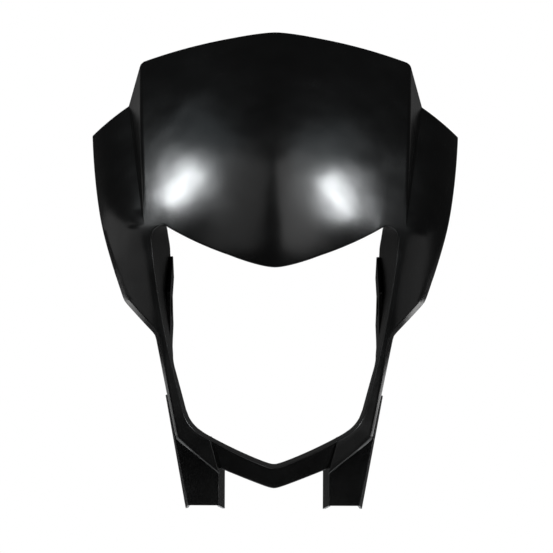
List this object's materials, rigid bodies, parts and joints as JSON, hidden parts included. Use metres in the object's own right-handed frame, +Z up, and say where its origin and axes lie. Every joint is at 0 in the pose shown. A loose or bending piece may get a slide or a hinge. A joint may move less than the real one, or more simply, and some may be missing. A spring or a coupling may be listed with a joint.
{
  "type": "motorcycle headlight cowl",
  "caption": "Gloss black headlight cowl: a keeled hood over an open lamp frame, with swept wings, straps, a chin bar, bolt ears inside and channel legs below.",
  "frame": {"origin": "midway between the two headlight bolts, on their common axis", "axes": "+X right in a front view along the headlight bolts' axis, +Y back towards the fork, +Z up"},
  "size_m": [0.3656, 0.1879, 0.454],
  "materials": {
    "black_plastic": "gloss"
  },
  "bodies": {
    "root": {"headlight_cowl": "black_plastic"}
  },
  "joints": []
}
